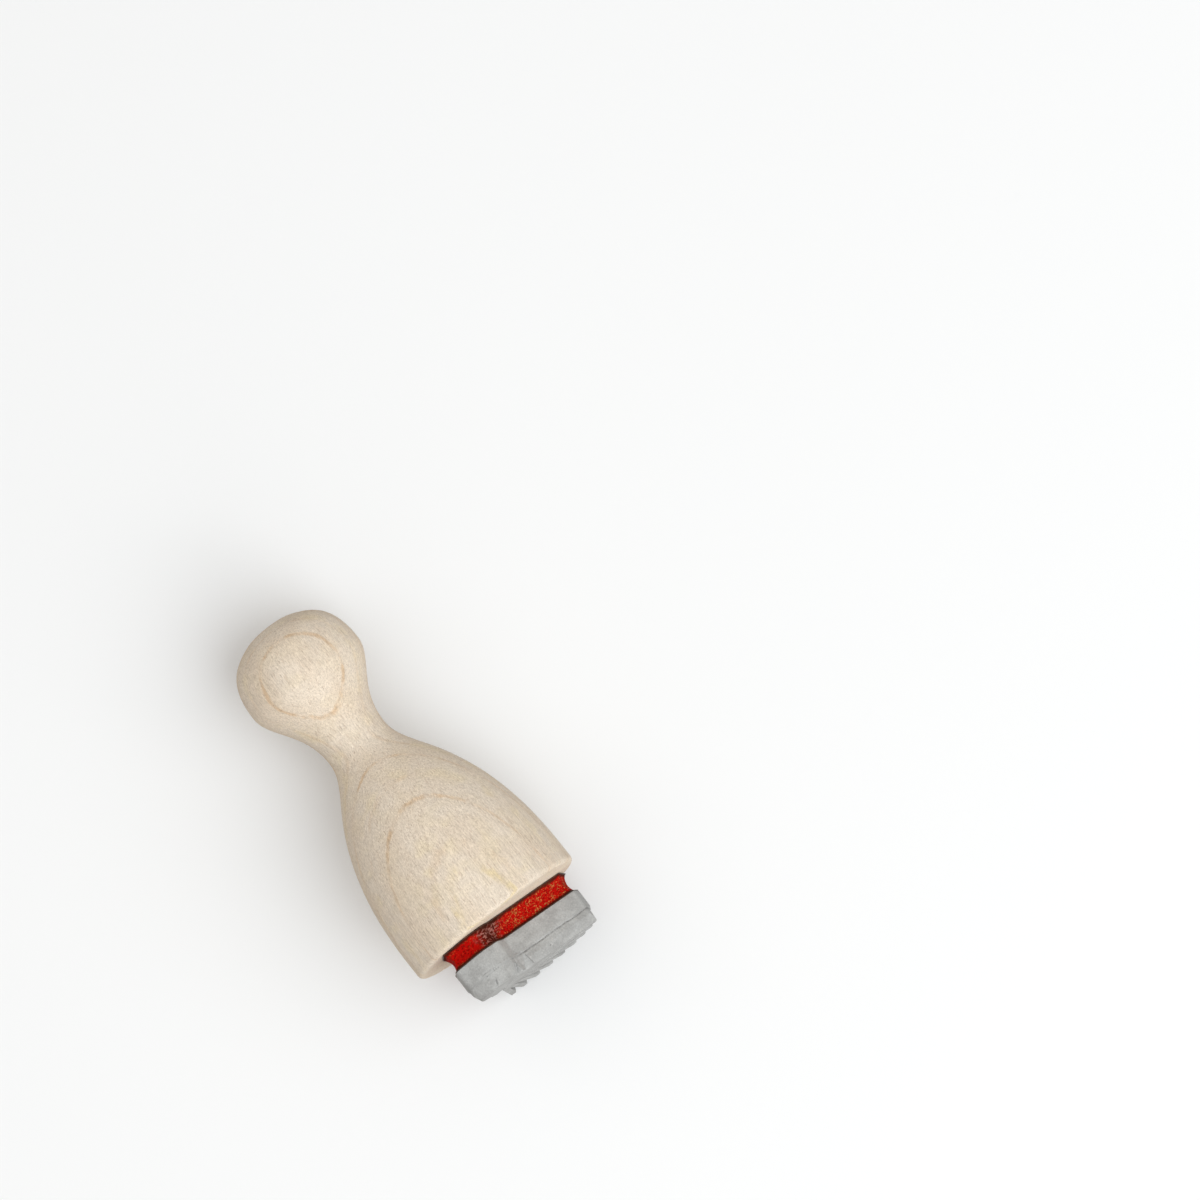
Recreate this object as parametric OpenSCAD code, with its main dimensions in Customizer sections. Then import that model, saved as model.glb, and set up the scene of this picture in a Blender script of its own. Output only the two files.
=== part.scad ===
// Small peg stamp: a turned beech handle, a sponge cushion and a moulded rubber die, glued
// together with two adhesive films.
// Frame: the print face lies on z = 0 and the handle's axis is +Z through the origin.

/* [Handle] */
// Length of the turned handle
handle_len = 28.8; // [26:0.1:34]
// Diameter at the rim, the widest part of the handle
rim_d = 15; // [14.5:0.5:18]
// Diameter of the ball
ball_d = 10.3; // [9:0.1:12]
// Diameter of the neck at its narrowest
neck_d = 5.4; // [4.5:0.1:6.5]
// Rounding of the rim's lower edge
rim_round = 0.4; // [0.2:0.1:1]

/* [Cushion] */
// Thickness of the sponge cushion
foam_t = 1.5; // [1:0.05:3]
// Thickness of each adhesive film
film_t = 0.1; // [0.05:0.05:0.2]
// How far the sponge's cut sides stand inside the die's
foam_inset = 0.25; // [0.1:0.05:0.5]

/* [Die] */
// Thickness of the die's plate, without the relief
plate_t = 1.8; // [1:0.1:3]
// Height of the relief that prints
relief_h = 1.1; // [0.6:0.1:1.2]

/* [Motif] */
// Number of strands in the fan
strands = 9; // [5:1:11]
// Angle between the fan's first and last strand
fan_angle = 55; // [45:1:55]
// Length of the outer strands from the point where the strands meet
strand_len = 10.5; // [8:0.1:10.5]
// How much longer the middle strand is
strand_bow = 0.8; // [0:0.1:0.8]
// Width of a strand at the print face
strand_w = 0.44; // [0.3:0.02:0.5]

/* [Hidden] */

// Heights of the stack, from the print face up
die_top = relief_h + plate_t;
foam_base = die_top + film_t;
foam_top = foam_base + foam_t;
handle_base = foam_top + film_t;

// Heights on the handle, as shares of its length, above its base
ball_z = 0.834 * handle_len;
neck_z = 0.613 * handle_len;
bell_z = 0.483 * handle_len;
rim_z = 0.059 * handle_len;

// The crown is flat, and slopes from its edge to the ball. The bell leaves the neck at a slant,
// where its radius has grown by this share of the way from neck to rim.
crown_r = 1.8;
crown_slope = 26;
bell_share = 0.35;
bell_slant = 32.4;

// How hard each curve of the outline is pulled at its two ends, on a handle of this length
pull_len = 28.8;
crown_pull = [1.6, 3.7];
ball_pull = [1.9, 3.2];
neck_pull = [1.3, 1.9];
bell_pull = [4, 4.8];
curve_steps = 14;

// The motif's frame: the head's centre, and the direction from the head to the fan
head_at = [-3, -4];
motif_turn = 61.5;
head_r = 1.7;
head_lean = 0.5;
meet_at = 0.35;
band_at = 1.75;
band_w = 0.9;
band_len = 3.6;
skirt_at = 2.5;
skirt_end = 5;
// Above 1, the strands stand closer together towards the fan's first strand
crowding = 1.08;

// The relief's walls lean outwards from the print face to the plate, and root inside it.
// A skin of this thickness holds the shape at the print face.
wall_lean = 0.4;
root = 0.3;
strand_start = 3.6;
skin = 0.01;

// The die is cut by hand, close around the motif. The cushion has more to spare along the cut
// from the head to the end of the fan.
die_outline = [[-4.95, -5.2], [-2.4, -5.8], [-0.9, -4.6], [-0.45, -2.75], [6.05, 1.6],
               [6.35, 4.2], [3.9, 6.6], [-2.9, 7.45], [-3.8, 6.6], [-5.3, -1.8]];
cushion_outline = [[-4.95, -5.2], [-2.4, -5.8], [-0.9, -4.85], [-0.6, -4.1], [6.05, 0.4],
                   [6.35, 4.2], [3.9, 6.6], [-2.9, 7.45], [-3.8, 6.6], [-5.3, -1.8]];

// A point of the cubic curve from p0 to p3 that leaves towards p1 and arrives from p2
function curve_point(p0, p1, p2, p3, t) =
    pow(1 - t, 3) * p0 + 3 * pow(1 - t, 2) * t * p1 + 3 * (1 - t) * t * t * p2 + pow(t, 3) * p3;

// The curve's points after p0, from the pulls on its ends
function curve(p0, pull0, p3, pull3) =
    [for (i = [1:curve_steps]) curve_point(p0, p0 + pull0, p3 + pull3, p3, i / curve_steps)];

// The handle's half outline, from the crown down over ball, neck and bell to the rim
function handle_profile() =
    let (pull = handle_len / pull_len, neck_r = neck_d / 2,
         crown = [crown_r, handle_len], ball = [ball_d / 2, ball_z], neck = [neck_r, neck_z],
         bell = [neck_r + bell_share * (rim_d / 2 - neck_r), bell_z], rim = [rim_d / 2, rim_z],
         slope = [cos(crown_slope), -sin(crown_slope)], slant = [sin(bell_slant), -cos(bell_slant)])
    concat([[0, handle_len], crown],
           curve(crown, crown_pull[0] * slope, ball, [0, crown_pull[1] * pull]),
           curve(ball, [0, -ball_pull[0] * pull], neck, [0, ball_pull[1] * pull]),
           curve(neck, [0, -neck_pull[0] * pull], bell, -neck_pull[1] * pull * slant),
           curve(bell, bell_pull[0] * pull * slant, rim, [0, bell_pull[1] * pull]),
           [for (a = [0:15:90])
               [rim_d / 2 - rim_round * (1 - cos(a)), rim_round * (1 - sin(a))]],
           [[0, 0]]);

// Moves its children from the motif's frame to the part's
module in_motif_frame() translate(head_at) rotate(motif_turn) children();

// A slab cut to an outline, drawn in by an inset
module cut_slab(outline, z0, thickness, inset)
    translate([0, 0, z0]) linear_extrude(thickness) offset(delta = -inset) polygon(outline);

// A block of the relief on a flat shape: its walls lean outwards from the print face to the plate
module relief_block() hull() {
    linear_extrude(skin) children();
    translate([0, 0, relief_h]) linear_extrude(root) offset(delta = wall_lean) children();
}

// The strands fan out from the point where they meet
module fan() translate([meet_at, 0])
    for (i = [0:strands - 1])
        let (turn = 0.5 - pow(i / (strands - 1), crowding),
             reach = strand_len + strand_bow * (1 - 4 * turn * turn))
            rotate(fan_angle * turn) relief_block() translate([strand_start, -strand_w / 2])
                square([reach - strand_start, strand_w]);

// The gathered top of the fan, where the strands run together
module skirt() relief_block()
    let (half = fan_angle / 2, reach = skirt_end - meet_at)
        polygon([for (side = [-1, 1]) [skirt_at, side * (skirt_at - meet_at) * tan(half)],
                 for (a = [half, 0, -half]) [meet_at + reach * cos(a), reach * sin(a)]]);

// The round head of the tassel
module head() cylinder(h = relief_h + root, r1 = head_r, r2 = head_r + head_lean, $fn = 48);

// The band that binds the fan below the head
module band() relief_block() translate([band_at - band_w / 2, -band_len / 2])
    square([band_w, band_len]);

module handle() color([0.89, 0.82, 0.74])
    translate([0, 0, handle_base]) rotate_extrude($fn = 96) polygon(handle_profile());

module upper_adhesive() color([0.2, 0.07, 0.03])
    cut_slab(cushion_outline, foam_top, film_t, foam_inset / 2);

module foam_cushion() color([0.8, 0.08, 0.04])
    cut_slab(cushion_outline, foam_base, foam_t, foam_inset);

module lower_adhesive() color([0.2, 0.07, 0.03])
    cut_slab(die_outline, die_top, film_t, foam_inset / 2);

module rubber_die() color([0.67, 0.67, 0.66]) {
    cut_slab(die_outline, relief_h, plate_t, 0);
    intersection() {
        cut_slab(die_outline, 0, relief_h + root, 0);
        in_motif_frame() {
            head();
            band();
            skirt();
            fan();
        }
    }
}

handle();
upper_adhesive();
foam_cushion();
lower_adhesive();
rubber_die();
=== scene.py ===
"""A small peg stamp: turned beech handle, red sponge cushion, grey rubber die.

Everything is in metres in the part's own frame: the print face is z = 0 and the handle's axis is
+Z through the origin. Meshes are worked out in millimetres and scaled by MM when they are made.
"""
import math

import bpy
from mathutils import Matrix, Vector, kdtree, noise


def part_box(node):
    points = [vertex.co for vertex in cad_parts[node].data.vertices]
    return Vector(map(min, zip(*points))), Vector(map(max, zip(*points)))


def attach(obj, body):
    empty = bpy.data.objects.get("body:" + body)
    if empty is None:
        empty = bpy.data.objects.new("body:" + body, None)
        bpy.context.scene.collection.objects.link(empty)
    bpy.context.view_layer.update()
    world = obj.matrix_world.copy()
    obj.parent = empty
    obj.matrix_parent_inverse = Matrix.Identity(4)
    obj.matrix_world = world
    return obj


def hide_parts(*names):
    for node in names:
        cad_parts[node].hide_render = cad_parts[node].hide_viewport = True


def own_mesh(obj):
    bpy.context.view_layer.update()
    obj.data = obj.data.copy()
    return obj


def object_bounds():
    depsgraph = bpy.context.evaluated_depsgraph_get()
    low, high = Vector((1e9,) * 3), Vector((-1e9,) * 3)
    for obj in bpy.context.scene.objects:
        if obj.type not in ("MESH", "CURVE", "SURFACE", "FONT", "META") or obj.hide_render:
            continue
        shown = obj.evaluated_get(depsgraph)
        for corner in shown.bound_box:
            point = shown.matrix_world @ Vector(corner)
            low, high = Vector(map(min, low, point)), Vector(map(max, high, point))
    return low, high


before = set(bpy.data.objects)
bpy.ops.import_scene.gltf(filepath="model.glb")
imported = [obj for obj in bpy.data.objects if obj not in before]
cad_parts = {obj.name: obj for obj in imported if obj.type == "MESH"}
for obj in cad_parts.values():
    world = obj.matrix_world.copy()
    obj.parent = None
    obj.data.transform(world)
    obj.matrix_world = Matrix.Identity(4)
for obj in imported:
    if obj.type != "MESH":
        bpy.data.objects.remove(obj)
cad_low, cad_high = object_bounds()

MM = 0.001
HANDLE_BODY = "handle_body"
DIE_BODY = "die_body"


def box_mm(node):
    """Lowest and highest corner of a CAD node, in millimetres."""
    low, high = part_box(node)
    return low / MM, high / MM


HANDLE_LOW, HANDLE_HIGH = box_mm("handle")
FOAM_LOW, FOAM_HIGH = box_mm("foam_cushion")
DIE_HIGH = box_mm("rubber_die")[1]
BOX_MIDDLE = (cad_low + cad_high) / 2


# ---------------------------------------------------------------- camera

# The stamp lies on its side and is seen from straight above, so the camera looks along +Y.
CAMERA_DISTANCE = 1.1
CAMERA_LENS = 427.4
CAMERA_CLIP = (0.05, 5)
CAMERA_PITCH = math.radians(6.5)
CAMERA_ROLL = math.radians(38.5)
# Where the picture's centre lies from the middle of the object's box
PICTURE_CENTRE = Vector((0.02155, 0, 0.0024))


def camera_axes():
    """The camera's right, up and forward directions in the part's frame."""
    forward = Vector((0, math.cos(CAMERA_PITCH), math.sin(CAMERA_PITCH)))
    level_up = Vector((0, -math.sin(CAMERA_PITCH), math.cos(CAMERA_PITCH)))
    level_right = Vector((1, 0, 0))
    cos, sin = math.cos(CAMERA_ROLL), math.sin(CAMERA_ROLL)
    right = level_right * cos - level_up * sin
    up = level_right * sin + level_up * cos
    return right, up, forward


CAMERA_RIGHT, CAMERA_UP, CAMERA_FORWARD = camera_axes()


def make_camera():
    data = bpy.data.cameras.new("camera")
    data.lens = CAMERA_LENS
    data.clip_start, data.clip_end = CAMERA_CLIP
    camera = bpy.data.objects.new("camera", data)
    bpy.context.scene.collection.objects.link(camera)
    camera.location = BOX_MIDDLE + PICTURE_CENTRE - CAMERA_FORWARD * CAMERA_DISTANCE
    camera.rotation_mode = "QUATERNION"
    axes = Matrix((CAMERA_RIGHT, CAMERA_UP, -CAMERA_FORWARD))
    camera.rotation_quaternion = axes.transposed().to_quaternion()
    bpy.context.scene.camera = camera


# ---------------------------------------------------------------- mesh helpers

def make_piece(name, points, faces, material):
    """A smooth-shaded mesh object from points in millimetres."""
    mesh = bpy.data.meshes.new(name)
    mesh.from_pydata([Vector(p) * MM for p in points], [], faces)
    mesh.update()
    for polygon in mesh.polygons:
        polygon.use_smooth = True
    piece = bpy.data.objects.new(name, mesh)
    bpy.context.scene.collection.objects.link(piece)
    mesh.materials.append(material)
    return piece


def loft(rings):
    """Points and faces of a closed solid through rings of points, capped at both ends."""
    count = len(rings[0])
    points = [p for ring in rings for p in ring]
    faces = []
    for k in range(len(rings) - 1):
        for i in range(count):
            j = (i + 1) % count
            faces.append((k * count + i, k * count + j, (k + 1) * count + j, (k + 1) * count + i))
    last = (len(rings) - 1) * count
    faces.append(tuple(reversed(range(count))))
    faces.append(tuple(range(last, last + count)))
    return points, faces


def ripple(point, size, seed=0.0):
    """Smooth noise from -1 to 1. size is the width of its waves along each axis, in millimetres."""
    return noise.noise(Vector((point[0] / size[0] + seed, point[1] / size[1] - seed,
                               point[2] / size[2] + 2 * seed)))


# ---------------------------------------------------------------- shader helper

class Shader:
    """Adds and links the nodes of one material, which is built around a Principled BSDF."""

    def __init__(self, name):
        self.material = bpy.data.materials.new(name)
        self.material.use_nodes = True
        self.tree = self.material.node_tree
        self.surface = self.tree.nodes["Principled BSDF"]
        coordinates = self.tree.nodes.new("ShaderNodeTexCoord")
        scale = self.tree.nodes.new("ShaderNodeVectorMath")
        scale.operation = "SCALE"
        scale.inputs["Scale"].default_value = 1 / MM
        self.link(coordinates.outputs["Object"], scale.inputs[0])
        self.place = scale.outputs[0]

    def link(self, source, target):
        self.tree.links.new(source, target)

    def put(self, socket, value):
        """Links another node's output to the socket, or sets a constant on it."""
        if isinstance(value, bpy.types.NodeSocket):
            self.link(value, socket)
        else:
            socket.default_value = value

    def stretch(self, size, offset=(0, 0, 0)):
        """The place in millimetres, divided by size along each axis."""
        node = self.tree.nodes.new("ShaderNodeMapping")
        node.inputs["Scale"].default_value = [1 / s for s in size]
        node.inputs["Location"].default_value = offset
        self.link(self.place, node.inputs["Vector"])
        return node.outputs[0]

    def noise(self, size, detail=2.0, roughness=0.5, offset=(0, 0, 0)):
        """Cloudy noise around 0.5. size is the width of its waves along each axis."""
        node = self.tree.nodes.new("ShaderNodeTexNoise")
        node.inputs["Scale"].default_value = 1
        node.inputs["Detail"].default_value = detail
        node.inputs["Roughness"].default_value = roughness
        self.link(self.stretch(size, offset), node.inputs["Vector"])
        return node.outputs["Fac"]

    def cells(self, size, feature="F1", offset=(0, 0, 0)):
        """Distance from the centres of scattered cells, or from their walls, by feature."""
        node = self.tree.nodes.new("ShaderNodeTexVoronoi")
        node.feature = feature
        node.inputs["Scale"].default_value = 1
        self.link(self.stretch(size, offset), node.inputs["Vector"])
        return node.outputs["Distance"]

    def math(self, operation, a, b=0.0, c=0.0):
        node = self.tree.nodes.new("ShaderNodeMath")
        node.operation = operation
        for socket, value in zip(node.inputs, (a, b, c)):
            self.put(socket, value)
        return node.outputs[0]

    def ramp(self, value, low, high, start=0.0, end=1.0):
        """value from low to high becomes start to end, smoothly, and stays there beyond."""
        node = self.tree.nodes.new("ShaderNodeMapRange")
        node.interpolation_type = "SMOOTHSTEP"
        self.put(node.inputs["Value"], value)
        for name, number in zip(("From Min", "From Max", "To Min", "To Max"),
                                (low, high, start, end)):
            node.inputs[name].default_value = number
        return node.outputs[0]

    def fade(self, value, low, high, end=0.0):
        """1 where value is low, and end where it is high."""
        return self.ramp(value, low, high, 1.0, end)

    def apart(self, value, level):
        """How far value is from level, on either side."""
        return self.math("ABSOLUTE", self.math("SUBTRACT", value, level))

    def length(self, x, y):
        squares = self.math("ADD", self.math("MULTIPLY", x, x), self.math("MULTIPLY", y, y))
        return self.math("SQRT", squares)

    def mix(self, share, first, second):
        """The colour first where share is 0, and second where it is 1."""
        node = self.tree.nodes.new("ShaderNodeMix")
        node.data_type = "RGBA"
        self.put(node.inputs["Factor"], share)
        for socket, value in ((node.inputs["A"], first), (node.inputs["B"], second)):
            self.put(socket, (*value, 1) if isinstance(value, tuple) else value)
        return node.outputs["Result"]

    def tint(self, colour, other, where, strength):
        """colour, taken towards other by strength where the mask is 1."""
        return self.mix(self.math("MULTIPLY", where, strength), colour, other)

    def shade(self, colour, share):
        """colour times share, a number around 1."""
        node = self.tree.nodes.new("ShaderNodeVectorMath")
        node.operation = "SCALE"
        self.link(colour, node.inputs[0])
        self.put(node.inputs["Scale"], share)
        return node.outputs[0]

    def axis(self, name):
        """The place's X, Y or Z in millimetres."""
        node = self.tree.nodes.new("ShaderNodeSeparateXYZ")
        self.link(self.place, node.inputs[0])
        return node.outputs[name]

    def bump(self, height, depth_mm):
        """Lets the light see height, from 0 to 1, as a relief of this depth."""
        node = self.tree.nodes.new("ShaderNodeBump")
        node.inputs["Distance"].default_value = depth_mm * MM
        self.link(height, node.inputs["Height"])
        self.link(node.outputs[0], self.surface.inputs["Normal"])

    def finish(self, colour, roughness, specular):
        self.put(self.surface.inputs["Base Color"], colour)
        self.put(self.surface.inputs["Roughness"], roughness)
        self.surface.inputs["Specular IOR Level"].default_value = specular
        return self.material


# ---------------------------------------------------------------- materials

# The log's pith runs behind the stamp, nearly along Z, so growth rings meet the front face as
# arches. It leans by PITH_LEAN from where it is at PITH_LEVEL. Beyond RING_REACH from the middle
# the rings are half as strong, and near the middle the wood is a little lighter.
PITH = (-0.2, 30)
PITH_LEAN = 0.07
PITH_LEVEL = 20
RING_RADIUS = 33.6
RING_SPACING = 2.7
RING_REACH, RING_FADE = 3.7, 0.8
RING_SWAY, RING_FRAY = 0.35, 0.20
# A fainter line runs between two rings, at this share of the way, and is this strong
FAINT_RING_AT, FAINT_RING = 0.07, 0.35
# The strip in the middle of the front
STRIP_FROM, STRIP_TO, STRIP_LIGHT = 1.0, 2.0, 1.025
# The grain bends inwards below the ball, around this height
BEND_LEVEL, BEND_HALF, BEND_DEPTH = 24.5, 4.5, 0.7
# A yellower ring shows low on the bell, this far out from the first ring
YELLOW_RING = 4.6

WOOD_PALE = (0.79, 0.69, 0.575)
WOOD_WARM = (0.765, 0.65, 0.525)
WOOD_YELLOW = (0.81, 0.69, 0.50)
WOOD_AMBER = (0.78, 0.64, 0.40)
WOOD_LINE = (0.65, 0.46, 0.29)
WOOD_FLECK = (0.60, 0.45, 0.34)


def wood_material():
    s = Shader("turned_beech")
    x = s.math("SUBTRACT", s.axis("X"), PITH[0])
    y = s.math("SUBTRACT", s.axis("Y"), PITH[1])
    above = s.math("SUBTRACT", s.axis("Z"), PITH_LEVEL)
    y = s.math("MULTIPLY_ADD", above, PITH_LEAN, y)
    from_ring = s.math("SUBTRACT", s.length(x, y), RING_RADIUS)
    bend = s.ramp(s.apart(s.axis("Z"), BEND_LEVEL), 0.0, BEND_HALF, BEND_DEPTH, 0.0)
    from_ring = s.math("ADD", from_ring, bend)
    sway = s.math("SUBTRACT", s.noise((6, 6, 14), detail=1), 0.5)
    fray = s.math("SUBTRACT", s.noise((0.45, 0.45, 1.6), detail=3), 0.5)
    from_ring = s.math("MULTIPLY_ADD", sway, RING_SWAY, from_ring)
    from_ring = s.math("MULTIPLY_ADD", fray, RING_FRAY, from_ring)
    year = s.math("FRACT", s.math("ADD", s.math("DIVIDE", from_ring, RING_SPACING), 0.5))
    from_line = s.apart(year, 0.5)
    line = s.fade(from_line, 0.010, 0.050)
    halo = s.fade(from_line, 0.02, 0.25)
    faint = s.fade(s.apart(year, FAINT_RING_AT), 0.01, 0.06)
    broken = s.ramp(s.noise((1.3, 1.3, 2.2), detail=3, offset=(3, 1, 7)), 0.40, 0.60, 0.15, 1.0)
    line = s.math("MULTIPLY", s.math("MULTIPLY_ADD", faint, FAINT_RING, line), broken)
    aside = s.math("ABSOLUTE", x)
    near = s.fade(aside, RING_REACH - RING_FADE, RING_REACH + RING_FADE, end=0.5)
    line = s.math("MULTIPLY", line, near)
    strip = s.ramp(aside, STRIP_FROM, STRIP_TO, STRIP_LIGHT, 1.0)
    amber = s.math("MULTIPLY", s.fade(s.apart(from_ring, YELLOW_RING), 0.02, 0.12), broken)

    tone = s.ramp(s.noise((2.6, 2.6, 5.0), detail=3, offset=(9, 2, 4)), 0.36, 0.66)
    yellow = s.ramp(s.noise((1.7, 1.7, 1.5), detail=1, offset=(1, 8, 3)), 0.42, 0.65)
    yellow = s.math("MULTIPLY", yellow, s.ramp(from_line, 0.30, 0.46, 0.35, 1.0))
    fibre = s.noise((0.11, 0.11, 1.5), detail=3, roughness=0.65)
    grain = s.noise((0.085, 0.085, 0.17), detail=2, roughness=0.7, offset=(5, 5, 5))
    vessel = s.ramp(s.noise((0.11, 0.11, 1.1), detail=1, offset=(8, 3, 2)), 0.62, 0.74)
    ray = s.fade(s.cells((0.20, 1.3, 0.85)), 0.10, 0.26)
    ray = s.math("MULTIPLY", ray, s.ramp(s.noise((0.6, 0.6, 1.5), offset=(4, 4, 1)), 0.42, 0.6))

    colour = s.mix(tone, WOOD_PALE, WOOD_WARM)
    colour = s.tint(colour, WOOD_YELLOW, yellow, strength=0.6)
    colour = s.tint(colour, WOOD_AMBER, amber, strength=0.8)
    colour = s.tint(colour, WOOD_LINE, halo, strength=0.06)
    colour = s.tint(colour, WOOD_LINE, line, strength=0.75)
    colour = s.tint(colour, WOOD_FLECK, ray, strength=0.32)
    colour = s.tint(colour, WOOD_FLECK, vessel, strength=0.30)
    colour = s.shade(colour, s.math("MULTIPLY", strip, s.ramp(fibre, 0.25, 0.75, 0.85, 1.11)))
    colour = s.shade(colour, s.ramp(grain, 0.25, 0.75, 0.84, 1.14))

    height = s.math("MULTIPLY_ADD", grain, 0.5, s.math("MULTIPLY", fibre, 0.8))
    height = s.math("MULTIPLY_ADD", s.math("MAXIMUM", ray, vessel), -0.5, height)
    s.bump(height, depth_mm=0.04)
    roughness = s.ramp(grain, 0.3, 0.7, 0.66, 0.82)
    return s.finish(colour, roughness, specular=0.2)


FOAM_RED = (0.43, 0.0022, 0.0005)
# Painted shade in the pores
FOAM_PORE_SHADE = (0.16, 0.0025, 0.0012)
FOAM_CELL = (0.90, 0.42, 0.12)
FOAM_BURNT = (0.040, 0.010, 0.004)
FOAM_ASH = (0.36, 0.17, 0.14)
# The cut's inner corner, where the blade turned and left glue and ash on the sponge
BURNT_CORNER = (-0.95, -4.0)
BURNT_FROM, BURNT_TO, BURNT_RAGGED = 0.0, 1.2, 1.5
# The torn cells are open on the long side, and closed on the round side
OPEN_FROM, OPEN_TO = -2.6, 0.3
# Near the cushion's two faces the cells are torn more, and soiled by the films: how far inside
# the faces this starts, and where it is full
TORN_FROM, TORN_TO = 0.40, 0.15
SOILED_FROM, SOILED_TO, SOILED_RAGGED = 0.09, -0.06, 0.30


def foam_material():
    s = Shader("sponge_rubber")
    walls = s.cells((0.32, 0.32, 0.25), feature="DISTANCE_TO_EDGE")
    scatter = s.noise((0.6, 0.6, 0.45), detail=3, offset=(2, 6, 1))
    torn = s.ramp(s.axis("X"), OPEN_FROM, OPEN_TO, 0.15, 1.0)
    cell = s.math("MULTIPLY", s.fade(walls, 0.015, 0.07), s.ramp(scatter, 0.52, 0.62))
    speck = s.ramp(s.noise((0.10, 0.10, 0.10), detail=2), 0.63, 0.69)
    middle = (FOAM_LOW.z + FOAM_HIGH.z) / 2
    reach = (FOAM_HIGH.z - FOAM_LOW.z) / 2
    from_middle = s.apart(s.axis("Z"), middle)
    more = s.ramp(from_middle, reach - TORN_FROM, reach - TORN_TO, 0.0, 0.3)
    torn = s.math("ADD", torn, more)
    light = s.math("MULTIPLY", s.math("MAXIMUM", cell, speck), torn)
    shaded_pits = s.fade(s.cells((0.21, 0.21, 0.16), offset=(3, 3, 3)), 0.12, 0.45)

    x = s.math("SUBTRACT", s.axis("X"), BURNT_CORNER[0])
    y = s.math("SUBTRACT", s.axis("Y"), BURNT_CORNER[1])
    cloud = s.noise((0.3, 0.3, 0.3), detail=3)
    burnt = s.math("MULTIPLY_ADD", cloud, -BURNT_RAGGED, s.length(x, y))
    burnt = s.fade(burnt, BURNT_FROM, BURNT_TO)
    ash = s.ramp(s.noise((0.26, 0.26, 0.16), detail=2, offset=(6, 1, 3)), 0.50, 0.60)

    stain = s.noise((0.4, 0.4, 0.4), detail=3)
    soiled = s.math("MULTIPLY_ADD", stain, SOILED_RAGGED, from_middle)
    soiled = s.ramp(soiled, reach - SOILED_FROM, reach - SOILED_TO)

    # Painted shade darkens the pores' pits
    colour = s.tint(FOAM_RED, FOAM_PORE_SHADE, shaded_pits, strength=0.6)
    colour = s.tint(colour, FOAM_CELL, light, strength=0.70)
    colour = s.tint(colour, s.mix(ash, FOAM_BURNT, FOAM_ASH), burnt, strength=0.85)
    colour = s.tint(colour, FOAM_BURNT, soiled, strength=0.85)
    s.bump(s.math("SUBTRACT", cell, shaded_pits), depth_mm=0.05)
    return s.finish(colour, roughness=0.8, specular=0.06)


FILM_DARK = (0.030, 0.012, 0.006)
FILM_BROWN = (0.11, 0.035, 0.012)


def film_material():
    s = Shader("dark_adhesive")
    patch = s.noise((0.4, 0.4, 0.3), detail=4, roughness=0.6)
    colour = s.mix(s.ramp(patch, 0.4, 0.68), FILM_DARK, FILM_BROWN)
    s.bump(s.noise((0.12, 0.12, 0.12), detail=2), depth_mm=0.03)
    roughness = s.ramp(patch, 0.3, 0.7, 0.32, 0.6)
    return s.finish(colour, roughness, specular=0.5)


RUBBER_GREY = (0.455, 0.46, 0.455)
RUBBER_DARK = (0.365, 0.365, 0.36)
RUBBER_DUST = (0.56, 0.555, 0.54)
# Dark nicks, and the painted shade of the seam and the crevices
RUBBER_NICK_AND_SHADE = (0.10, 0.095, 0.09)
# Painted shade: a dark line along the seam's crease. It wanders with noise around 0.5, which adds
# half of the wander to z.
SEAM_SHADE_LEVEL = 1.32
SEAM_SHADE_WANDER = 0.25
# The painted shade of the seam is faint on the round side and clear on the long side
SEAM_SHADE_FROM, SEAM_SHADE_TO = -1.2, 0.4
# Painted shade darkens the colour in crevices whose walls are this close
CREVICE_SHADE_REACH, CREVICE_SHADE_SAMPLES = 0.35, 8


def rubber_material():
    s = Shader("moulded_rubber")
    cloud = s.noise((1.6, 1.6, 0.9), detail=4, roughness=0.6)
    mottle = s.noise((0.13, 0.13, 0.13), detail=3, roughness=0.65, offset=(2, 2, 2))
    dust = s.ramp(s.noise((0.5, 0.5, 0.5), detail=4, roughness=0.7, offset=(7, 1, 2)), 0.56, 0.74)
    nick = s.fade(s.cells((0.85, 0.85, 0.7), offset=(1, 5, 2)), 0.035, 0.09)
    nick = s.math("MULTIPLY", nick, s.ramp(mottle, 0.42, 0.56))
    # The seam's dark line is painted shade of its crease
    wave = s.noise((1.3, 1.3, 9), detail=1)
    wander = s.math("MULTIPLY_ADD", wave, SEAM_SHADE_WANDER, s.axis("Z"))
    seam = s.fade(s.apart(wander, SEAM_SHADE_LEVEL), 0.02, 0.10)
    seam = s.math("MULTIPLY", seam, s.ramp(mottle, 0.38, 0.58))
    seam = s.math("MULTIPLY", seam, s.ramp(s.axis("X"), SEAM_SHADE_FROM, SEAM_SHADE_TO, 0.35, 1.0))
    # The occlusion paints shade into the colour of the crevices
    occlusion = s.tree.nodes.new("ShaderNodeAmbientOcclusion")
    occlusion.samples = CREVICE_SHADE_SAMPLES
    occlusion.inputs["Distance"].default_value = CREVICE_SHADE_REACH * MM
    crevice_shade = s.fade(occlusion.outputs["AO"], 0.35, 0.85)

    colour = s.mix(s.ramp(cloud, 0.35, 0.68), RUBBER_GREY, RUBBER_DARK)
    colour = s.tint(colour, RUBBER_DUST, dust, strength=0.6)
    colour = s.shade(colour, s.ramp(mottle, 0.28, 0.72, 0.86, 1.12))
    colour = s.tint(colour, RUBBER_NICK_AND_SHADE, nick, strength=0.75)
    colour = s.tint(colour, RUBBER_NICK_AND_SHADE, seam, strength=0.65)
    colour = s.tint(colour, RUBBER_NICK_AND_SHADE, crevice_shade, strength=0.45)
    s.bump(s.math("MULTIPLY_ADD", nick, -0.8, mottle), depth_mm=0.03)
    roughness = s.ramp(mottle, 0.3, 0.7, 0.6, 0.75)
    return s.finish(colour, roughness, specular=0.3)


# ---------------------------------------------------------------- handle

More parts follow.
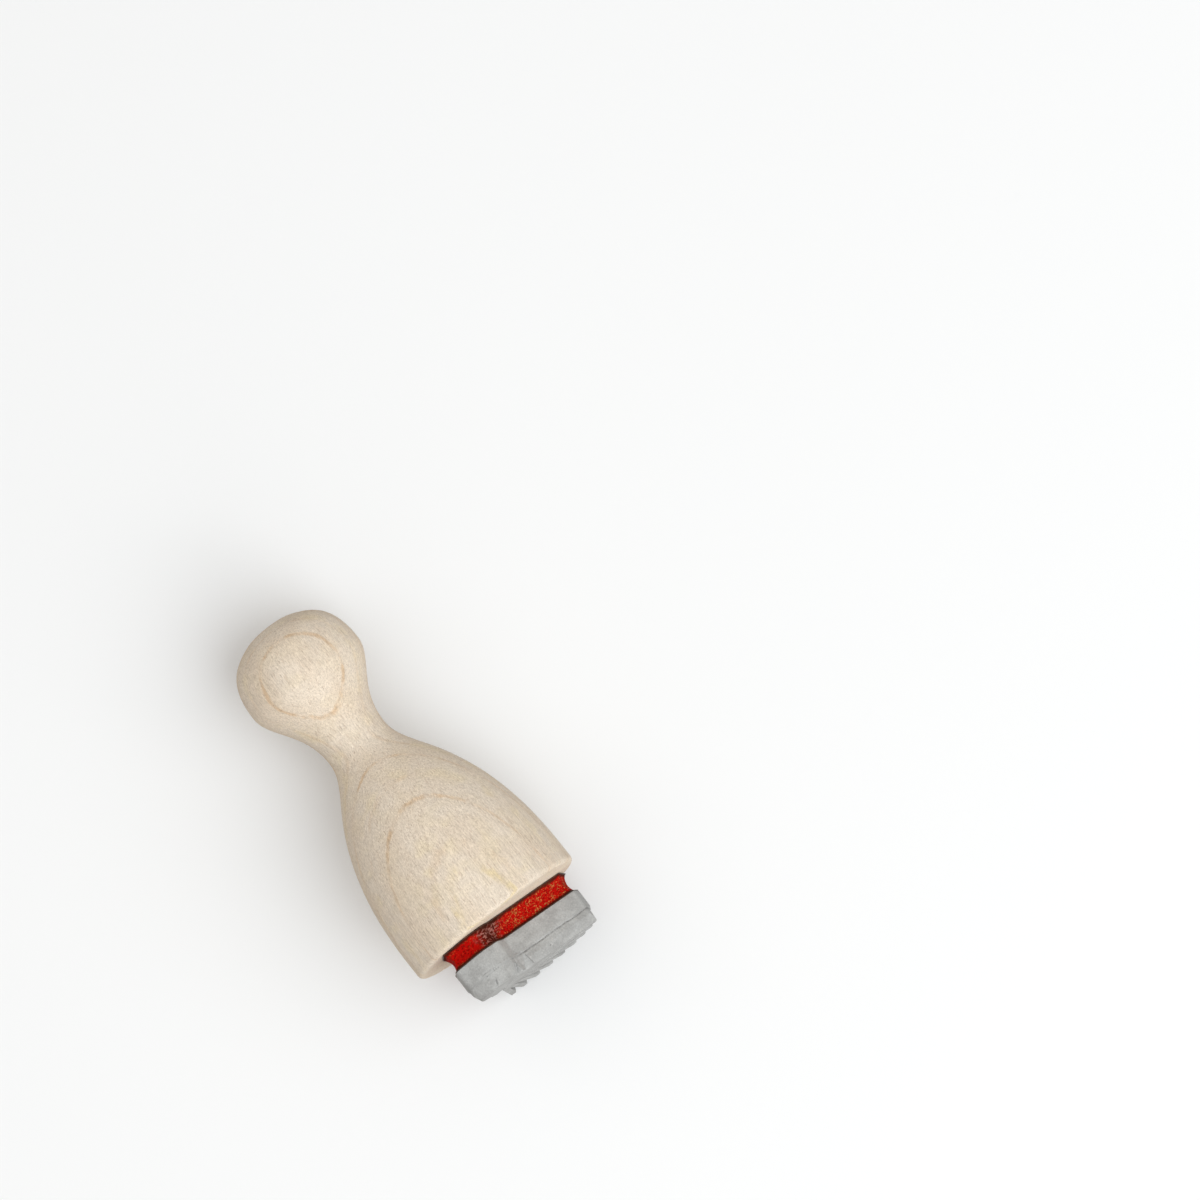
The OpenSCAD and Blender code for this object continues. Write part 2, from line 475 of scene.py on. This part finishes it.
# The curves of the turned outline, as in the CAD part, except for the eased edge of the crown.
# The pulls on each curve's two ends are for a handle of this length.
PULL_LENGTH = 28.8
CROWN_PULL = (1.6, 3.7)
BALL_PULL = (1.9, 3.2)
NECK_PULL = (1.3, 1.9)
BELL_PULL = (4, 4.8)
BALL_RADIUS = 5.15
NECK_RADIUS = 2.7
CROWN_RADIUS = 1.8
CROWN_SLOPE = math.radians(26)
CROWN_EASE = 0.8
BELL_SHARE = 0.35
BELL_SLANT = math.radians(32.4)
# Heights above the handle's base, as shares of its length
BALL_AT, NECK_AT, BELL_AT, RIM_AT = 0.834, 0.613, 0.483, 0.059
RIM_ROUND = 0.4
# The outline starts and ends just off the axis, where a small flat cap closes the skin
CAP_RADIUS = 0.05
# This pull on both ends turns the cubic curve into the simple arc towards one corner
ARC_PULL = 2 / 3
RIM_STEPS = 10
EASE_STEPS = 8
OUTLINE_POINTS = 380
TURN_STEPS = 320
# How deep the open fibres, the pores and the slow sway of the surface go
FIBRE_DEPTH, WOOD_PORE_DEPTH, SWAY_DEPTH = 0.022, 0.03, 0.02


def curve(p0, pull0, p3, pull3, steps=60):
    """Points after p0 on the cubic curve from p0 to p3, with the given pulls at its ends."""
    p0, p3 = Vector(p0), Vector(p3)
    p1, p2 = p0 + Vector(pull0), p3 + Vector(pull3)
    found = []
    for i in range(1, steps + 1):
        t = i / steps
        u = 1 - t
        found.append(u**3 * p0 + 3 * u * u * t * p1 + 3 * u * t * t * p2 + t**3 * p3)
    return found


def handle_outline():
    """The handle's half outline as (radius, z), from the crown's centre to the base's centre."""
    base, top = HANDLE_LOW.z, HANDLE_HIGH.z
    length = top - base
    rim_radius = (HANDLE_HIGH.x - HANDLE_LOW.x) / 2
    pull = length / PULL_LENGTH
    crown = Vector((CROWN_RADIUS, top))
    ball = Vector((BALL_RADIUS, base + BALL_AT * length))
    neck = Vector((NECK_RADIUS, base + NECK_AT * length))
    bell = Vector((NECK_RADIUS + BELL_SHARE * (rim_radius - NECK_RADIUS),
                   base + BELL_AT * length))
    rim = Vector((rim_radius, base + RIM_AT * length))
    slope = Vector((math.cos(CROWN_SLOPE), -math.sin(CROWN_SLOPE)))
    slant = Vector((math.sin(BELL_SLANT), -math.cos(BELL_SLANT)))
    before = crown - Vector((CROWN_EASE, 0))
    shoulder = curve(crown, CROWN_PULL[0] * slope, ball, (0, CROWN_PULL[1] * pull))
    shoulder = [p for p in shoulder if (p - crown).length > CROWN_EASE]
    points = [Vector((CAP_RADIUS, top)), before]
    points += curve(before, ARC_PULL * (crown - before),
                    shoulder[0], ARC_PULL * (crown - shoulder[0]), EASE_STEPS)
    points += shoulder[1:]
    points += curve(ball, (0, -BALL_PULL[0] * pull), neck, (0, BALL_PULL[1] * pull))
    points += curve(neck, (0, -NECK_PULL[0] * pull), bell, -NECK_PULL[1] * pull * slant)
    points += curve(bell, BELL_PULL[0] * pull * slant, rim, (0, BELL_PULL[1] * pull))
    for i in range(RIM_STEPS + 1):
        angle = math.pi / 2 * i / RIM_STEPS
        points.append(Vector((rim_radius - RIM_ROUND * (1 - math.cos(angle)),
                              base + RIM_ROUND * (1 - math.sin(angle)))))
    points.append(Vector((CAP_RADIUS, base)))
    return points


def even_steps(points, count):
    """The same line, divided into count equal steps."""
    lengths = [0.0]
    for a, b in zip(points, points[1:]):
        lengths.append(lengths[-1] + (b - a).length)
    found, k = [], 0
    for i in range(count + 1):
        at = lengths[-1] * i / count
        while k < len(points) - 2 and lengths[k + 1] < at:
            k += 1
        span = lengths[k + 1] - lengths[k] or 1
        found.append(points[k].lerp(points[k + 1], (at - lengths[k]) / span))
    return found


def wood_relief(p):
    """How far the turned surface lies under the smooth outline: open fibres and a slight sway."""
    fibres = max(0.0, ripple(p, (0.32, 0.32, 2.6)) - 0.12)
    pores = max(0.0, ripple(p, (0.2, 0.2, 0.8), seed=7.3) - 0.3)
    sway = 0.5 + 0.5 * ripple(p, (4, 4, 3), seed=2.1)
    return FIBRE_DEPTH * fibres + WOOD_PORE_DEPTH * pores + SWAY_DEPTH * sway


def turned_handle(material):
    outline = even_steps(handle_outline(), OUTLINE_POINTS)
    rings = []
    for i, point in enumerate(outline):
        before, after = outline[max(0, i - 1)], outline[min(len(outline) - 1, i + 1)]
        along = (after - before).normalized()
        inward = Vector((along.y, -along.x))
        ring = []
        for k in range(TURN_STEPS):
            angle = -2 * math.pi * k / TURN_STEPS
            cos, sin = math.cos(angle), math.sin(angle)
            depth = wood_relief((point.x * cos, point.x * sin, point.y))
            depth = min(depth, 0.3 * point.x)
            radius = point.x + inward.x * depth
            ring.append((radius * cos, radius * sin, point.y + inward.y * depth))
        rings.append(ring)
    points, faces = loft(rings)
    piece = make_piece("turned_handle", points, faces, material)
    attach(piece, HANDLE_BODY)
    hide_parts("handle")


# ---------------------------------------------------------------- cut outline

# The hand-cut outlines of the die and the cushion, as in the CAD part, anticlockwise, and how
# far each of their corners is rounded
DIE_CORNERS = [(-4.95, -5.2), (-2.4, -5.8), (-0.9, -4.6), (-0.45, -2.75), (6.05, 1.6),
               (6.35, 4.2), (3.9, 6.6), (-2.9, 7.45), (-3.8, 6.6), (-5.3, -1.8)]
CUSHION_CORNERS = [(-4.95, -5.2), (-2.4, -5.8), (-0.9, -4.85), (-0.6, -4.1), (6.05, 0.4),
                   (6.35, 4.2), (3.9, 6.6), (-2.9, 7.45), (-3.8, 6.6), (-5.3, -1.8)]
ROUNDING = [0.45, 1.0, 0.4, 0.12, 0.25, 0.5, 0.6, 0.4, 0.4, 0.8]
CORNER_STEPS = 8
OUTLINE_GAP = 0.06


def rounded_outline(corners):
    """Points of an outline with rounded corners. Each outline has as many from corner to corner
    as the die's, so that a side can run from one outline to the other."""
    corners = [Vector(corner) for corner in corners]
    count = len(corners)

    def near_corner(k, other):
        return corners[k] + (corners[other] - corners[k]).normalized() * ROUNDING[k]

    line = []
    for k, corner in enumerate(corners):
        after = (k + 1) % count
        start, end = near_corner(k, k - 1), near_corner(k, after)
        stretch = []
        for i in range(CORNER_STEPS + 1):
            t = i / CORNER_STEPS
            stretch.append((1 - t)**2 * start + 2 * t * (1 - t) * corner + t * t * end)
        stretch.append(near_corner(after, k))
        span = (Vector(DIE_CORNERS[after]) - Vector(DIE_CORNERS[k])).length
        line += even_steps(stretch, round(span / OUTLINE_GAP))[:-1]
    return line


def outward(line):
    """The outward direction at each point of a closed anticlockwise line."""
    found = []
    for i in range(len(line)):
        along = (line[(i + 1) % len(line)] - line[i - 1]).normalized()
        found.append(Vector((along.y, -along.x)))
    return found


CUT_LINE = rounded_outline(DIE_CORNERS)
CUT_OUT = outward(CUT_LINE)
CUSHION_LINE = rounded_outline(CUSHION_CORNERS)


def slab(levels, inset, low_line, high_line, wobble=None):
    """Rings at the levels, from the low line to the high line. Each point is drawn in by
    inset(share, point, z) and raised by wobble(share, point), where share runs from 0 to 1."""
    rings = []
    for k, z in enumerate(levels):
        share = k / (len(levels) - 1)
        line = [low.lerp(high, share) for low, high in zip(low_line, high_line)]
        ring = []
        for point, out in zip(line, outward(line)):
            p = point - out * inset(share, point, z)
            dz = wobble(share, point) if wobble else 0
            ring.append((p.x, p.y, z + dz))
        rings.append(ring)
    return rings


# ---------------------------------------------------------------- cushion and films

FOAM_RINGS = 26
FOAM_EDGE_INSET = 0.12
FOAM_WAIST = 0.30
FOAM_LEAN = 0.08
FOAM_WAVES = 0.05
PORE_DEPTH = 0.09
# The pores fade out towards the cushion's two faces, over one part in this many of its height
PORE_FADE = 6
# The films' edges stand inside the outline, uneven on a coarse and a fine scale
FILM_INSET = 0.06
FILM_COARSE, FILM_FINE, FILM_ROUND = 0.05, 0.04, 0.05
FILM_THINNING = 0.05
FILM_LEVELS = (-1, -0.6, 0, 0.6, 1)


def foam_inset(share, point, z):
    """The cut sponge is drawn in at its middle, and its open pores are pits in its sides."""
    waist = FOAM_WAIST * math.sin(math.pi * share) ** 0.8
    lean = FOAM_LEAN * (1 - share)
    p = (point.x, point.y, z)
    pores = PORE_DEPTH * max(0.0, ripple(p, (0.17, 0.17, 0.13)) - 0.05)
    waves = FOAM_WAVES * ripple(p, (1.3, 1.3, 0.8), seed=4.4)
    inner = min(1.0, PORE_FADE * share, PORE_FADE * (1 - share))
    return FOAM_EDGE_INSET + waist + lean + inner * (pores + waves)


def sponge_cushion(material):
    low, high = FOAM_LOW.z, FOAM_HIGH.z
    levels = [low + (high - low) * k / (FOAM_RINGS - 1) for k in range(FOAM_RINGS)]
    points, faces = loft(slab(levels, foam_inset, CUT_LINE, CUSHION_LINE))
    piece = make_piece("sponge_cushion", points, faces, material)
    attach(piece, HANDLE_BODY)
    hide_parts("foam_cushion")
    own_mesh(piece)


def adhesive_film(name, node, body, line, seed, material):
    """A thin dark film whose edge was pushed out unevenly when the layers were pressed."""
    low, high = box_mm(node)
    middle = (low.z + high.z) / 2
    half = (high.z - low.z) / 2

    def inset(share, point, z):
        p = (point.x, point.y, seed)
        coarse = FILM_COARSE * ripple(p, (0.5, 0.5, 1), seed)
        fine = FILM_FINE * ripple(p, (0.16, 0.16, 1), seed)
        return FILM_INSET + coarse + fine + FILM_ROUND * (2 * share - 1) ** 2

    def thinning(share, point):
        p = (point.x, point.y, seed)
        return -FILM_THINNING * half * (2 * share - 1) * (1 + ripple(p, (0.4, 0.4, 1), seed))

    levels = [middle + half * t for t in FILM_LEVELS]
    points, faces = loft(slab(levels, inset, line, line, thinning))
    piece = make_piece(name, points, faces, material)
    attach(piece, body)
    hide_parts(node)


# ---------------------------------------------------------------- rubber die

# The relief, as in the CAD part. Its frame starts at the head's centre and points to the fan.
HEAD_AT = (-3, -4)
MOTIF_TURN = math.radians(61.5)
RELIEF_HEIGHT = 1.1
WALL_LEAN = 0.4
# How far the relief's blocks reach into the plate
SINK = 0.3
STRANDS = 9
FAN_ANGLE = math.radians(55)
STRAND_START, STRAND_LENGTH, STRAND_BOW = 3.6, 10.5, 0.8
STRAND_WIDTH = 0.44
MEET_AT = 0.35
HEAD_RADIUS, HEAD_LEAN = 1.7, 0.5
BAND_AT, BAND_WIDTH, BAND_LENGTH = 1.75, 0.9, 3.6
SKIRT_AT, SKIRT_END = 2.5, 5
# Above 1, the strands stand closer together towards the fan's first strand
CROWDING = 1.08
HEAD_STEPS, SKIRT_STEPS = 60, 12
# The plate's lower edge is drawn in by EDGE_EASE, over the lowest EDGE_SHARE of its height
PLATE_STEPS = 8
EDGE_EASE, EDGE_SHARE = 0.25, 0.2
VOXEL = 0.05
CAST_TEXTURE = 0.012

# The knife's marks on the cut sides: how far these stand inside the outline, ripples, slow waves,
# and a seam at the relief's foot that wanders and is broken. Points this close to the outline or
# past it are trimmed.
TRIM_REACH = 0.4
CUT_INSET = 0.06
CUT_RIPPLE, CUT_WAVES = 0.02, 0.035
SEAM_Z, SEAM_SWAY, SEAM_DEPTH, SEAM_HALF = 1.2, 0.07, 0.09, 0.08
SEAM_STEP = 0.03
# A groove and a nick on the near side, as lines in (x, z) with their depths and widths
GROOVE_LOW, GROOVE_HIGH = Vector((-0.66, 0)), Vector((-0.28, 1.15))
GROOVE_DEPTH, GROOVE_WIDTH = 0.10, 0.09
NICK_LOW, NICK_HIGH = Vector((-2.95, 0.22)), Vector((-2.82, 0.5))
NICK_DEPTH, NICK_WIDTH = 0.12, 0.1


def from_motif(x, y):
    """A point of the motif's frame in the part's frame."""
    cos, sin = math.cos(MOTIF_TURN), math.sin(MOTIF_TURN)
    return Vector((HEAD_AT[0] + x * cos - y * sin, HEAD_AT[1] + x * sin + y * cos))


def leaning_block(corners, lean=WALL_LEAN):
    """A closed block of the relief on an outline in the motif's frame, wider at the plate."""
    count = len(corners)
    line = [Vector(c) for c in corners]
    wide = []
    for i in range(count):
        a = (line[i] - line[i - 1]).normalized()
        b = (line[(i + 1) % count] - line[i]).normalized()
        out = Vector((a.y, -a.x)) + Vector((b.y, -b.x))
        wide.append(line[i] + out * (lean / (1 + a.dot(b))))
    rings = []
    for outline, z in ((line, 0), (wide, RELIEF_HEIGHT), (wide, RELIEF_HEIGHT + SINK)):
        placed = [from_motif(p.x, p.y) for p in outline]
        rings.append([(p.x, p.y, z) for p in placed])
    return loft(rings)


def head_outline():
    angles = [2 * math.pi * i / HEAD_STEPS for i in range(HEAD_STEPS)]
    return [(HEAD_RADIUS * math.cos(a), HEAD_RADIUS * math.sin(a)) for a in angles]


def bar_outline(centre, direction, start, end, width):
    """A straight bar from start to end, along a direction from (centre, 0)."""
    along = Vector((math.cos(direction), math.sin(direction)))
    side = Vector((-along.y, along.x)) * (width / 2)
    base = Vector((centre, 0))
    a, b = base + along * start, base + along * end
    return [a - side, b - side, b + side, a + side]


def skirt_outline():
    """The gathered top of the fan, with a round lower edge."""
    reach = SKIRT_END - MEET_AT
    half = (SKIRT_AT - MEET_AT) * math.tan(FAN_ANGLE / 2)
    arc = []
    for i in range(SKIRT_STEPS + 1):
        angle = FAN_ANGLE * (i / SKIRT_STEPS - 0.5)
        arc.append((MEET_AT + reach * math.cos(angle), reach * math.sin(angle)))
    return [(SKIRT_AT, -half)] + arc + [(SKIRT_AT, half)]


def near_mark(place, low, high, width):
    """1 on the line from low to high, and 0 from a width away."""
    along = high - low
    share = min(1.0, max(0.0, (place - low).dot(along) / along.length_squared))
    return max(0.0, 1 - (place - low - along * share).length / width)


def cut_inset(p):
    """How far the hand-cut side stands inside the outline, with the marks of the knife."""
    ripples = CUT_RIPPLE * ripple(p, (0.4, 0.4, 2.2), seed=1.7)
    waves = CUT_WAVES * ripple(p, (2.5, 2.5, 2), seed=3.1)
    seam_z = SEAM_Z + SEAM_SWAY * ripple(p, (1.3, 1.3, 9), seed=6.3)
    broken = max(0.0, 0.55 + 0.9 * ripple(p, (0.5, 0.5, 9), seed=2.9))
    clear = min(1.0, max(0.25, 1 + p[0]))
    seam = SEAM_DEPTH * max(0.0, 1 - abs(p[2] - seam_z) / SEAM_HALF) * broken * clear
    step = SEAM_STEP if p[2] < seam_z else 0.0
    depth = CUT_INSET + ripples + waves + seam + step
    if p[1] < 0:
        place = Vector((p[0], p[2]))
        depth += GROOVE_DEPTH * near_mark(place, GROOVE_LOW, GROOVE_HIGH, GROOVE_WIDTH)
        depth += NICK_DEPTH * near_mark(place, NICK_LOW, NICK_HIGH, NICK_WIDTH)
    return depth


def plate_rings():
    """The plate, whose lower edge is eased where no relief reaches it."""
    low, high = RELIEF_HEIGHT, DIE_HIGH.z
    levels = [low + (high - low) * k / PLATE_STEPS for k in range(PLATE_STEPS + 1)]

    def inset(share, point, z):
        return EDGE_EASE * max(0.0, 1 - share / EDGE_SHARE)

    return slab(levels, inset, CUT_LINE, CUT_LINE)


def merged_mesh(name, points, faces):
    """One skin around overlapping solids. Points stay in millimetres, as the voxels are tiny."""
    mesh = bpy.data.meshes.new(name)
    mesh.from_pydata(points, [], faces)
    piece = bpy.data.objects.new(name, mesh)
    bpy.context.scene.collection.objects.link(piece)
    remesh = piece.modifiers.new("merge", "REMESH")
    remesh.mode = "VOXEL"
    remesh.voxel_size = VOXEL
    remesh.use_smooth_shade = True
    graph = bpy.context.evaluated_depsgraph_get()
    merged = bpy.data.meshes.new_from_object(piece.evaluated_get(graph))
    piece.modifiers.clear()
    piece.data = merged
    return piece


def finished_rubber(merged):
    """The merged skin's points, with a cast texture and its sides trimmed by the knife."""
    cut_points = kdtree.KDTree(len(CUT_LINE))
    for i, point in enumerate(CUT_LINE):
        cut_points.insert((point.x, point.y, 0), i)
    cut_points.balance()
    found = []
    for vertex in merged.vertices:
        texture = CAST_TEXTURE * ripple(vertex.co, (0.35, 0.35, 0.35), seed=5.5)
        p = vertex.co + vertex.normal * texture
        k = cut_points.find((p.x, p.y, 0))[1]
        beyond = Vector((p.x - CUT_LINE[k].x, p.y - CUT_LINE[k].y)).dot(CUT_OUT[k])
        if beyond > -TRIM_REACH:
            over = beyond + cut_inset(p)
            if over > 0:
                p.x -= CUT_OUT[k].x * over
                p.y -= CUT_OUT[k].y * over
        p.z = min(max(p.z, 0.0), DIE_HIGH.z)
        found.append(p * MM)
    return found


def moulded_die(material):
    half_band = BAND_LENGTH / 2
    band = bar_outline(BAND_AT, math.pi / 2, -half_band, half_band, BAND_WIDTH)
    parts = [loft(plate_rings()), leaning_block(head_outline(), HEAD_LEAN),
             leaning_block(skirt_outline()), leaning_block(band)]
    for i in range(STRANDS):
        turn = 0.5 - (i / (STRANDS - 1)) ** CROWDING
        reach = STRAND_LENGTH + STRAND_BOW * (1 - 4 * turn * turn)
        strand = bar_outline(MEET_AT, FAN_ANGLE * turn, STRAND_START, reach, STRAND_WIDTH)
        parts.append(leaning_block(strand))
    points, faces = [], []
    for part_points, part_faces in parts:
        first = len(points)
        points += part_points
        faces += [tuple(first + i for i in face) for face in part_faces]
    piece = merged_mesh("moulded_die", points, faces)
    moved = finished_rubber(piece.data)
    piece.data.vertices.foreach_set("co", [c for point in moved for c in point])
    piece.data.update()
    piece.data.materials.append(material)
    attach(piece, DIE_BODY)
    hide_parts("rubber_die")


# ---------------------------------------------------------------- stage and light

PALE = (0.88, 0.89, 0.905)
# Width of a stage plane, and its gap to the stamp, in metres
STAGE_SIZE = 0.4
STAGE_GAP = 0.02 * MM


def stage_material():
    """Matte and pale, and seen from its front only."""
    material = bpy.data.materials.new("pale_stage")
    material.use_nodes = True
    tree = material.node_tree
    tree.nodes.clear()
    output = tree.nodes.new("ShaderNodeOutputMaterial")
    matte = tree.nodes.new("ShaderNodeBsdfDiffuse")
    matte.inputs["Color"].default_value = (*PALE, 1)
    clear = tree.nodes.new("ShaderNodeBsdfTransparent")
    behind = tree.nodes.new("ShaderNodeNewGeometry")
    mix = tree.nodes.new("ShaderNodeMixShader")
    tree.links.new(behind.outputs["Backfacing"], mix.inputs["Fac"])
    tree.links.new(matte.outputs[0], mix.inputs[1])
    tree.links.new(clear.outputs[0], mix.inputs[2])
    tree.links.new(mix.outputs[0], output.inputs["Surface"])
    return material


def stage_plane(name, centre, normal, material):
    """A large square that only the camera sees, so that the stamp is lit alike from all round."""
    half = STAGE_SIZE / 2
    side = Vector((1, 0, 0))
    other = normal.cross(side).normalized()
    mesh = bpy.data.meshes.new(name)
    corners = [centre + side * half * a + other * half * b
               for a, b in ((-1, -1), (1, -1), (1, 1), (-1, 1))]
    mesh.from_pydata(corners, [], [(0, 1, 2, 3)])
    mesh.materials.append(material)
    plane = bpy.data.objects.new(name, mesh)
    bpy.context.scene.collection.objects.link(plane)
    mesh.update()
    if mesh.polygons[0].normal.dot(normal) < 0:
        mesh.flip_normals()
    plane.visible_diffuse = False
    plane.visible_glossy = False
    plane.visible_shadow = False
    plane.visible_transmission = False


def make_stage():
    material = stage_material()
    # The surface the stamp lies on touches the ball and the rim on their far side
    rim_radius = (HANDLE_HIGH.x - HANDLE_LOW.x) / 2
    length = HANDLE_HIGH.z - HANDLE_LOW.z
    rim_z = HANDLE_LOW.z + RIM_AT * length
    ball_z = HANDLE_LOW.z + BALL_AT * length
    lean = math.atan2(rim_radius - BALL_RADIUS, ball_z - rim_z)
    normal = Vector((0, -math.cos(lean), -math.sin(lean)))
    contact = Vector((0, rim_radius, rim_z)) * MM
    stage_plane("resting_surface", contact - normal * STAGE_GAP, normal, material)
    stage_plane("floor", Vector((0, 0, -STAGE_GAP)), Vector((0, 0, 1)), material)


def area_light(name, right, up, towards, size, power, colour):
    """A soft round light that shines at the stamp's middle. right, up and towards the camera
    say how far it stands from there, in metres, and power is in watts."""
    data = bpy.data.lights.new(name, "AREA")
    data.shape = "DISK"
    data.size = size
    data.energy = power
    data.color = colour
    light = bpy.data.objects.new(name, data)
    bpy.context.scene.collection.objects.link(light)
    offset = CAMERA_RIGHT * right + CAMERA_UP * up - CAMERA_FORWARD * towards
    light.location = BOX_MIDDLE + offset
    light.rotation_mode = "QUATERNION"
    light.rotation_quaternion = (-offset).to_track_quat("-Z", "Y")


# The world's strength as a light, and as the background that the camera sees
WORLD_LIGHT = 0.50
WORLD_SEEN = 0.905
WORLD_COLOUR = (1, 0.975, 0.935)


def make_light():
    area_light("key_light", right=0.31, up=-0.07, towards=0.45, size=0.70, power=2.05,
               colour=(0.97, 0.995, 1.0))
    area_light("fill_light", right=-0.28, up=0.05, towards=0.45, size=0.60, power=0.6,
               colour=(1.0, 0.99, 0.97))
    area_light("low_light", right=0.22, up=-0.28, towards=0.12, size=0.40, power=0.4,
               colour=(1.0, 0.99, 0.98))
    world = bpy.data.worlds.new("white_room")
    world.use_nodes = True
    bpy.context.scene.world = world
    tree = world.node_tree
    background = tree.nodes["Background"]
    background.inputs["Color"].default_value = (*WORLD_COLOUR, 1)
    path = tree.nodes.new("ShaderNodeLightPath")
    strength = tree.nodes.new("ShaderNodeMapRange")
    strength.inputs["To Min"].default_value = WORLD_LIGHT
    strength.inputs["To Max"].default_value = WORLD_SEEN
    tree.links.new(path.outputs["Is Camera Ray"], strength.inputs["Value"])
    tree.links.new(strength.outputs[0], background.inputs["Strength"])
    bpy.context.scene.view_settings.view_transform = "Standard"


# ---------------------------------------------------------------- the scene

make_camera()
turned_handle(wood_material())
sponge_cushion(foam_material())
film = film_material()
adhesive_film("upper_film", "upper_adhesive", HANDLE_BODY, CUSHION_LINE, 3.0, film)
adhesive_film("lower_film", "lower_adhesive", DIE_BODY, CUT_LINE, 8.0, film)
moulded_die(rubber_material())
make_stage()
make_light()
